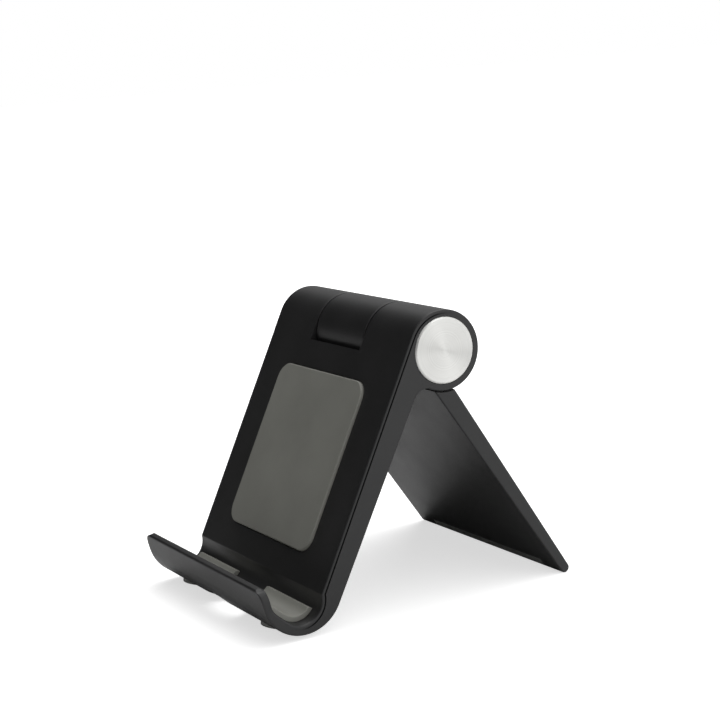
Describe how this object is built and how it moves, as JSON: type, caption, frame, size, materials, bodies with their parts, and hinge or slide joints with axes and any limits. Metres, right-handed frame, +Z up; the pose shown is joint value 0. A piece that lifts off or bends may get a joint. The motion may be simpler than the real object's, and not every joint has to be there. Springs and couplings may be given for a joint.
{
  "type": "phone stand",
  "caption": "Desktop phone stand: J-shaped cradle with a hooked lip, friction hinge barrel with turned metal end caps, and a rear leg that swings to set the angle.",
  "frame": {"origin": "under the middle of the stand, on the surface that it stands on", "axes": "+X to the right along the hinge axis, +Y to the back, away from the phone, +Z up"},
  "size_m": [0.0788, 0.0996, 0.0827],
  "materials": {
    "shell_plastic": "satin black, finely grained",
    "grip_silicone": "matte warm grey silicone",
    "foot_rubber": "matte dark rubber",
    "turned_aluminium": "fine concentric turning marks, bright bevelled rim",
    "zinc_steel": "bright zinc plated",
    "sheet_steel": "plain galvanised sheet",
    "bush_nylon": "natural nylon",
    "washer_nylon": "black nylon, slightly waxy"
  },
  "bodies": {
    "cradle": {"cradle_shell": "shell_plastic", "back_cover": "shell_plastic", "stiffener_plate": "sheet_steel", "cover_screws": "zinc_steel", "phone_pad": "grip_silicone", "hook_pad_left": "grip_silicone", "hook_pad_right": "grip_silicone", "front_foot_left": "foot_rubber", "front_foot_right": "foot_rubber", "hinge_bolt": "zinc_steel", "friction_washer_left": "washer_nylon", "friction_washer_right": "washer_nylon", "thrust_washer": "zinc_steel", "disc_springs": "zinc_steel", "lock_nut": "zinc_steel", "end_cap_left": "turned_aluminium", "end_cap_right": "turned_aluminium"},
    "leg": {"leg_frame": "shell_plastic", "leg_cover": "shell_plastic", "toe_grip": "foot_rubber", "hub_bush_left": "bush_nylon", "hub_bush_right": "bush_nylon"}
  },
  "joints": [
    {"name": "leg_hinge", "type": "hinge", "parent": "cradle", "child": "leg", "pos_m": [0, 0.01199, 0.07145], "axis": [1, 0, 0], "range_deg": [-12, 118]}
  ]
}
